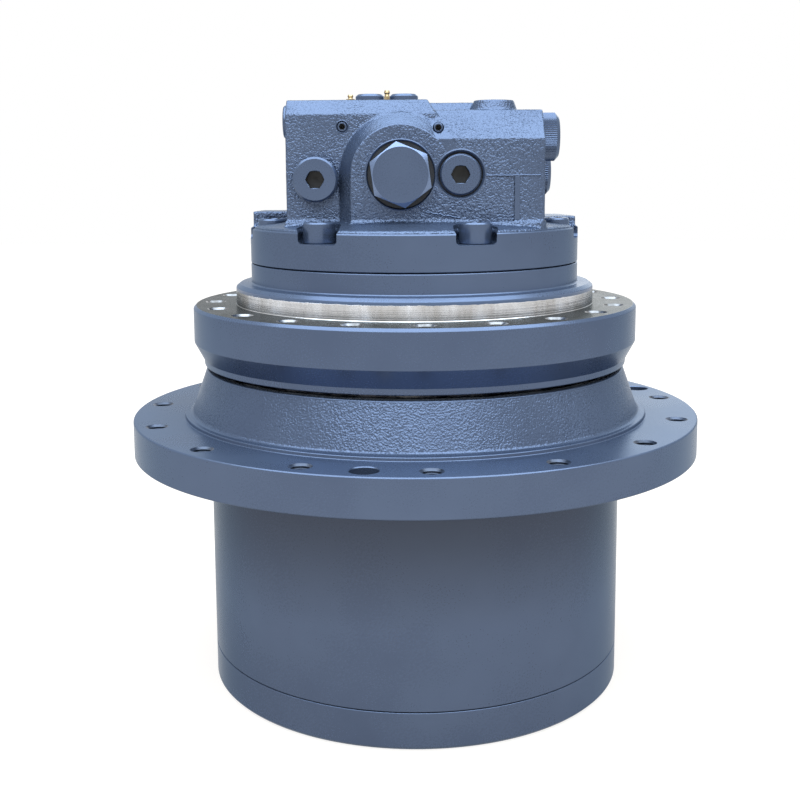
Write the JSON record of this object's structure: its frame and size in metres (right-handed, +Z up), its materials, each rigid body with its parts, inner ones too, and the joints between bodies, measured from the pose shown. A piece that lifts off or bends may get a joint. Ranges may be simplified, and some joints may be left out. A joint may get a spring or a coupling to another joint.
{
  "type": "excavator final drive",
  "caption": "Excavator final drive: travel motor with a valve block on a flanged spindle, and a hub with a sprocket flange that turns round it on a planetary reducer.",
  "frame": {"origin": "bottom centre of the end cover, on the drive's axis", "axes": "+Z up the axis from the end cover to the valve block, -Y the front with the spool cap, +X to the right as seen from the front"},
  "size_m": [0.4774, 0.4774, 0.4969],
  "materials": {
    "slate_paint": "satin slate blue-grey paint",
    "gear_steel": "ground gear steel",
    "bearing_steel": "ground and lapped bearing steel",
    "cast_iron": "machined cast iron",
    "bronze": "bronze bearing and friction faces",
    "black_rubber": "black nitrile rubber",
    "yellow_zinc": "yellow passivated"
  },
  "bodies": {
    "spindle": {"spindle": "slate_paint", "rear_cover": "slate_paint", "spool_cap": "slate_paint", "right_plug": "slate_paint", "left_plug": "slate_paint", "orifice_plug_1": "gear_steel", "orifice_plug_2": "gear_steel", "relief_valve_1": "slate_paint", "relief_valve_2": "slate_paint", "side_plug": "slate_paint", "port_washer_1": "yellow_zinc", "port_washer_2": "yellow_zinc", "port_cap_1": "slate_paint", "port_cap_2": "slate_paint", "bleed_screw_1": "yellow_zinc", "bleed_screw_2": "yellow_zinc", "cover_bolt_1": "slate_paint", "cover_bolt_2": "slate_paint", "cover_bolt_3": "slate_paint", "cover_bolt_4": "slate_paint", "cover_bolt_5": "slate_paint", "cover_bolt_6": "slate_paint", "cover_bolt_7": "slate_paint", "cover_bolt_8": "slate_paint", "carrier_2": "gear_steel", "bearing_nut": "gear_steel", "lower_bearing_inner_race": "bearing_steel", "upper_bearing_inner_race": "bearing_steel", "swash_plate": "gear_steel", "valve_plate": "bronze", "shaft_bearing": "bearing_steel", "shaft_seal": "black_rubber", "spindle_seal_ring": "bearing_steel", "spindle_toric_ring": "black_rubber", "disc_spring": "gear_steel"},
    "hub": {"hub": "slate_paint", "end_cover": "slate_paint", "oil_plug_1": "slate_paint", "oil_plug_2": "slate_paint", "lower_bearing_outer_race": "bearing_steel", "upper_bearing_outer_race": "bearing_steel", "hub_seal_ring": "bearing_steel", "hub_toric_ring": "black_rubber"},
    "motor": {"drive_shaft": "gear_steel", "cylinder_block": "cast_iron", "piston_set": "bronze", "friction_disc": "bronze"},
    "first_carrier": {"carrier_1": "gear_steel", "sun_2": "gear_steel"},
    "planet_1_a": {"planet_1_a": "gear_steel"},
    "planet_1_b": {"planet_1_b": "gear_steel"},
    "planet_1_c": {"planet_1_c": "gear_steel"},
    "planet_2_a": {"planet_2_a": "gear_steel"},
    "planet_2_b": {"planet_2_b": "gear_steel"},
    "planet_2_c": {"planet_2_c": "gear_steel"},
    "planet_2_d": {"planet_2_d": "gear_steel"},
    "lower_cage": {"lower_bearing_cage": "bearing_steel"},
    "upper_cage": {"upper_bearing_cage": "bearing_steel"},
    "spool": {"counterbalance_spool": "gear_steel"},
    "brake_piston": {"brake_piston": "gear_steel"}
  },
  "joints": [
    {"name": "hub_spin", "type": "hinge", "parent": "spindle", "child": "hub", "pos_m": [0, 0, 0.1], "axis": [0, 0, 1], "continuous": true},
    {"name": "motor_spin", "type": "hinge", "parent": "spindle", "child": "motor", "pos_m": [0, 0, 0.3], "axis": [0, 0, 1], "continuous": true},
    {"name": "first_carrier_spin", "type": "hinge", "parent": "spindle", "child": "first_carrier", "pos_m": [0, 0, 0.08], "axis": [0, 0, 1], "continuous": true},
    {"name": "planet_1_a_spin", "type": "hinge", "parent": "first_carrier", "child": "planet_1_a", "pos_m": [0.078, 0, 0.057], "axis": [0, 0, 1], "continuous": true},
    {"name": "planet_1_b_spin", "type": "hinge", "parent": "first_carrier", "child": "planet_1_b", "pos_m": [-0.039, 0.06755, 0.057], "axis": [0, 0, 1], "continuous": true},
    {"name": "planet_1_c_spin", "type": "hinge", "parent": "first_carrier", "child": "planet_1_c", "pos_m": [-0.039, -0.06755, 0.057], "axis": [0, 0, 1], "continuous": true},
    {"name": "planet_2_a_spin", "type": "hinge", "parent": "spindle", "child": "planet_2_a", "pos_m": [0.08, 0, 0.12], "axis": [0, 0, 1], "continuous": true},
    {"name": "planet_2_b_spin", "type": "hinge", "parent": "spindle", "child": "planet_2_b", "pos_m": [0, 0.08, 0.12], "axis": [0, 0, 1], "continuous": true},
    {"name": "planet_2_c_spin", "type": "hinge", "parent": "spindle", "child": "planet_2_c", "pos_m": [-0.08, 0, 0.12], "axis": [0, 0, 1], "continuous": true},
    {"name": "planet_2_d_spin", "type": "hinge", "parent": "spindle", "child": "planet_2_d", "pos_m": [0, -0.08, 0.12], "axis": [0, 0, 1], "continuous": true},
    {"name": "lower_cage_spin", "type": "hinge", "parent": "spindle", "child": "lower_cage", "pos_m": [0, 0, 0.188], "axis": [0, 0, 1], "continuous": true},
    {"name": "upper_cage_spin", "type": "hinge", "parent": "spindle", "child": "upper_cage", "pos_m": [0, 0, 0.238], "axis": [0, 0, 1], "continuous": true},
    {"name": "spool_slide", "type": "slide", "parent": "spindle", "child": "spool", "axis": [0, 1, 0], "range_m": [-0.005, 0.005], "stiffness_N_per_m": 4000},
    {"name": "brake_slide", "type": "slide", "parent": "spindle", "child": "brake_piston", "axis": [0, 0, 1], "range_m": [0, 0.002], "stiffness_N_per_m": 50000, "springref_m": -0.002, "deforming": ["disc_spring"]}
  ],
  "couplings": [
    {"joint": "motor_spin", "follows": "hub_spin", "ratio": -36.143},
    {"joint": "first_carrier_spin", "follows": "hub_spin", "ratio": -4.7143},
    {"joint": "planet_1_a_spin", "follows": "hub_spin", "ratio": 13.968},
    {"joint": "planet_1_b_spin", "follows": "hub_spin", "ratio": 13.968},
    {"joint": "planet_1_c_spin", "follows": "hub_spin", "ratio": 13.968},
    {"joint": "planet_2_a_spin", "follows": "hub_spin", "ratio": 2.5385},
    {"joint": "planet_2_b_spin", "follows": "hub_spin", "ratio": 2.5385},
    {"joint": "planet_2_c_spin", "follows": "hub_spin", "ratio": 2.5385},
    {"joint": "planet_2_d_spin", "follows": "hub_spin", "ratio": 2.5385},
    {"joint": "lower_cage_spin", "follows": "hub_spin", "ratio": 0.52615},
    {"joint": "upper_cage_spin", "follows": "hub_spin", "ratio": 0.52056}
  ]
}
